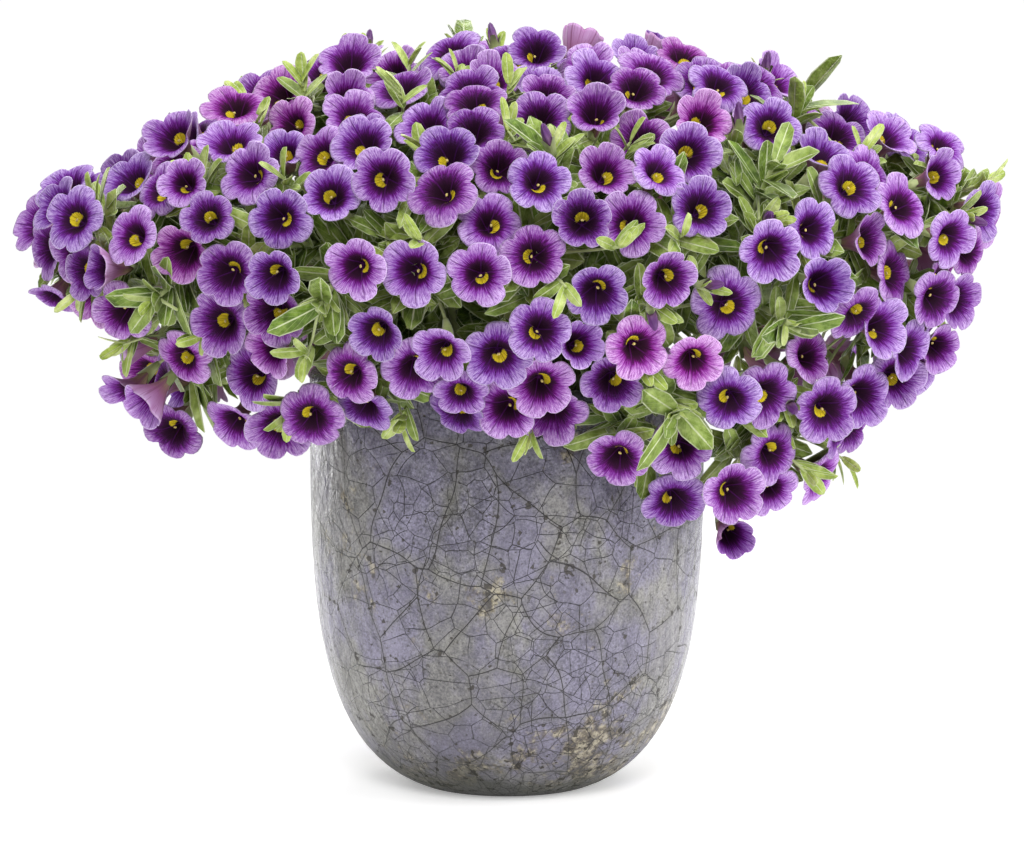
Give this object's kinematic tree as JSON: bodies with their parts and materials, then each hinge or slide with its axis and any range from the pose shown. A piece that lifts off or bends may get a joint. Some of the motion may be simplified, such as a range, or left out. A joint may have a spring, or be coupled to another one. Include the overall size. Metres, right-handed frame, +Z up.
{
  "type": "potted calibrachoa",
  "caption": "Wide mound of lobed trumpet blooms, leaves and thin stems, planted in a round-bellied glazed pot with a flat foot.",
  "frame": {"origin": "centre of the pot's flat foot, on the surface that it stands on", "axes": "+Z up along the pot's axis, +X along the mound's greatest width, -Y towards the plant's best side"},
  "size_m": [0.4726, 0.3376, 0.3634],
  "materials": {
    "glaze": "gloss",
    "potting_mix": "matte",
    "petals": "matte",
    "foliage": "satin"
  },
  "bodies": {
    "root": {"flowering_stem_01": "petals", "flowering_stem_02": "petals", "flowering_stem_03": "petals", "flowering_stem_04": "petals", "flowering_stem_05": "petals", "flowering_stem_06": "petals", "flowering_stem_07": "petals", "flowering_stem_08": "petals", "flowering_stem_09": "petals", "flowering_stem_10": "petals", "flowering_stem_11": "petals", "flowering_stem_12": "petals", "flowering_stem_13": "petals", "flowering_stem_14": "petals", "flowering_stem_15": "petals", "flowering_stem_16": "petals", "flowering_stem_17": "petals", "flowering_stem_18": "petals", "flowering_stem_19": "petals", "flowering_stem_20": "petals", "flowering_stem_21": "petals", "flowering_stem_22": "petals", "flowering_stem_23": "petals", "flowering_stem_24": "petals", "flowering_stem_25": "petals", "flowering_stem_26": "petals", "flowering_stem_27": "petals", "flowering_stem_28": "petals", "flowering_stem_29": "petals", "flowering_stem_30": "petals", "flowering_stem_31": "petals", "flowering_stem_32": "petals", "flowering_stem_33": "petals", "flowering_stem_34": "petals", "flowering_stem_35": "petals", "flowering_stem_36": "petals", "flowering_stem_37": "petals", "flowering_stem_38": "petals", "flowering_stem_39": "petals", "flowering_stem_40": "petals", "flowering_stem_41": "petals", "flowering_stem_42": "petals", "leafy_shoot_43": "foliage", "leafy_shoot_44": "foliage", "leafy_shoot_45": "foliage", "leafy_shoot_46": "foliage", "leafy_shoot_47": "foliage", "leafy_shoot_48": "foliage", "leafy_shoot_49": "foliage", "leafy_shoot_50": "foliage", "leafy_shoot_51": "foliage", "leafy_shoot_52": "foliage", "leafy_shoot_53": "foliage", "leafy_shoot_54": "foliage", "leafy_shoot_55": "foliage", "leafy_shoot_56": "foliage", "pot": "glaze", "potting_mix": "potting_mix"}
  },
  "joints": []
}
